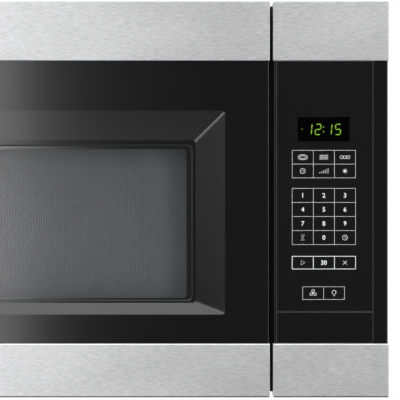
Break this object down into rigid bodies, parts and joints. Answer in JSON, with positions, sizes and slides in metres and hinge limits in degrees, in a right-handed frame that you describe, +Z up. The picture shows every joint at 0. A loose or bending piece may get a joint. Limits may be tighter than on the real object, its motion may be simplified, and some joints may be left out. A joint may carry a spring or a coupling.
{
  "type": "over the range microwave",
  "caption": "Wall-hung microwave oven with a side-hinged door in a mitred window recess, a keypad column, steel bands and a vent blower.",
  "frame": {"origin": "centre of the rear face that lies against the wall", "axes": "+X to the right seen from the front, the front faces -Y, +Z up, +Y into the wall"},
  "size_m": [0.759, 0.3935, 0.4174],
  "materials": {
    "case_paint": "fine satin black paint",
    "plated_steel": "zinc-plated sheet, dull",
    "enamel": "light grey enamel",
    "mica": "mica sheet",
    "fin_aluminium": "stamped fins",
    "core_iron": "varnished laminations",
    "winding": "varnished copper wire",
    "white_plastic": "moulded engineering plastic",
    "fan_plastic": "moulded plastic",
    "circuit_board": "board with components",
    "black_plastic": "fine grained moulding",
    "door_black": "high gloss black moulding",
    "panel_black": "high gloss black moulding",
    "keypad_print": "black overlay with fine printed key outlines",
    "display_glass": "smoked lens",
    "stainless": "fine horizontal brushed grain",
    "tinted_glass": "smoked flat glass",
    "clear_film": "clear film",
    "screen_black": "black perforated steel",
    "tray_glass": "clear pressed glass",
    "lamp_glass": "clear bulb in its socket",
    "filter_mesh": "expanded aluminium mesh",
    "carbon": "carbon wadding in a card frame",
    "lamp_paint": "grey painted steel",
    "rubber": "moulded rubber"
  },
  "bodies": {
    "cabinet": {"outer_case": "case_paint", "cord_bushing": "rubber", "rear_panel": "case_paint", "base_panel": "case_paint", "front_frame": "case_paint", "cavity_liner": "enamel", "waveguide": "plated_steel", "port_cover": "mica", "magnetron": "fin_aluminium", "transformer_core": "core_iron", "transformer_windings": "winding", "capacitor": "plated_steel", "fan_shroud": "fan_plastic", "fan_motor": "core_iron", "line_filter": "circuit_board", "blower_housing": "plated_steel", "blower_motor": "core_iron", "damper_frame": "plated_steel", "vent_grille": "black_plastic", "charcoal_filter": "carbon", "filter_rail": "plated_steel", "cooktop_lamp": "lamp_glass", "cavity_lamp": "plated_steel", "turntable_motor": "plated_steel", "door_hinges": "plated_steel", "hinge_screws": "plated_steel", "interlock_housing": "white_plastic", "door_switches": "black_plastic", "control_bezel": "panel_black", "control_top_band": "stainless", "control_bottom_band": "stainless", "keypad_overlay": "keypad_print", "lower_insert": "panel_black", "display_window": "display_glass", "control_board": "circuit_board"},
    "cooling_fan": {"cooling_fan": "fan_plastic"},
    "vent_blower": {"blower_wheels": "fan_plastic"},
    "exhaust_flap": {"damper_flap": "plated_steel"},
    "filter_left": {"grease_filter_left": "filter_mesh"},
    "filter_right": {"grease_filter_right": "filter_mesh"},
    "lamp_door": {"lamp_cover": "lamp_paint", "lamp_lens": "tray_glass"},
    "tray_drive": {"tray_driver": "white_plastic"},
    "tray": {"glass_tray": "tray_glass"},
    "rollers": {"roller_ring": "white_plastic"},
    "wheel_rear": {"roller_rear": "white_plastic"},
    "wheel_left": {"roller_left": "white_plastic"},
    "wheel_right": {"roller_right": "white_plastic"},
    "door": {"door_panel": "door_black", "door_top_band": "stainless", "door_bottom_band": "stainless", "window_pane": "tinted_glass", "door_chassis": "plated_steel", "perforated_screen": "screen_black", "inner_film": "clear_film", "choke_cover": "black_plastic", "door_screws": "plated_steel", "hinge_bushes": "white_plastic", "latch_spring": "plated_steel"},
    "latch": {"latch_bar": "white_plastic"}
  },
  "joints": [
    {"name": "door_hinge", "type": "hinge", "parent": "cabinet", "child": "door", "pos_m": [-0.3715, -0.364, 0], "axis": [0, 0, -1], "range_deg": [0, 100]},
    {"name": "latch_slide", "type": "slide", "parent": "door", "child": "latch", "axis": [0, 0, 1], "range_m": [0, 0.004], "stiffness_N_per_m": 400, "springref_m": -0.004, "deforming": ["latch_spring"]},
    {"name": "filter_left_drop", "type": "slide", "parent": "cabinet", "child": "filter_left", "axis": [0, 0, -1], "range_m": [0, 0.06]},
    {"name": "filter_right_drop", "type": "slide", "parent": "cabinet", "child": "filter_right", "axis": [0, 0, -1], "range_m": [0, 0.06]},
    {"name": "lamp_cover_hinge", "type": "hinge", "parent": "cabinet", "child": "lamp_door", "pos_m": [-0.062, -0.1765, -0.20225], "axis": [1, 0, 0], "range_deg": [0, 90]},
    {"name": "tray_drive_spin", "type": "hinge", "parent": "cabinet", "child": "tray_drive", "pos_m": [-0.07, -0.185, -0.12475], "axis": [0, 0, 1], "continuous": true},
    {"name": "tray_lift", "type": "slide", "parent": "tray_drive", "child": "tray", "axis": [0, 0, 1], "range_m": [0, 0.06]},
    {"name": "roller_ring_spin", "type": "hinge", "parent": "cabinet", "child": "rollers", "pos_m": [-0.07, -0.185, -0.11725], "axis": [0, 0, 1], "continuous": true},
    {"name": "wheel_rear_spin", "type": "hinge", "parent": "rollers", "child": "wheel_rear", "pos_m": [-0.07, -0.09, -0.11725], "axis": [0, 1, 0], "continuous": true},
    {"name": "wheel_left_spin", "type": "hinge", "parent": "rollers", "child": "wheel_left", "pos_m": [-0.15227, -0.2325, -0.11725], "axis": [-0.866, -0.5, 0], "continuous": true},
    {"name": "wheel_right_spin", "type": "hinge", "parent": "rollers", "child": "wheel_right", "pos_m": [0.01227, -0.2325, -0.11725], "axis": [0.866, -0.5, 0], "continuous": true},
    {"name": "blower_spin", "type": "hinge", "parent": "cabinet", "child": "vent_blower", "pos_m": [0, -0.054, 0.15075], "axis": [1, 0, 0], "continuous": true},
    {"name": "cooling_fan_spin", "type": "hinge", "parent": "cabinet", "child": "cooling_fan", "pos_m": [0.3, -0.062, 0.035], "axis": [0, -1, 0], "continuous": true},
    {"name": "exhaust_flap_hinge", "type": "hinge", "parent": "cabinet", "child": "exhaust_flap", "pos_m": [0, -0.02275, 0.19825], "axis": [-1, 0, 0], "range_deg": [0, 70]}
  ],
  "couplings": [
    {"joint": "roller_ring_spin", "follows": "tray_drive_spin", "ratio": 0.5},
    {"joint": "wheel_rear_spin", "follows": "tray_drive_spin", "ratio": -6.3333},
    {"joint": "wheel_left_spin", "follows": "tray_drive_spin", "ratio": -6.3333},
    {"joint": "wheel_right_spin", "follows": "tray_drive_spin", "ratio": -6.3333}
  ]
}
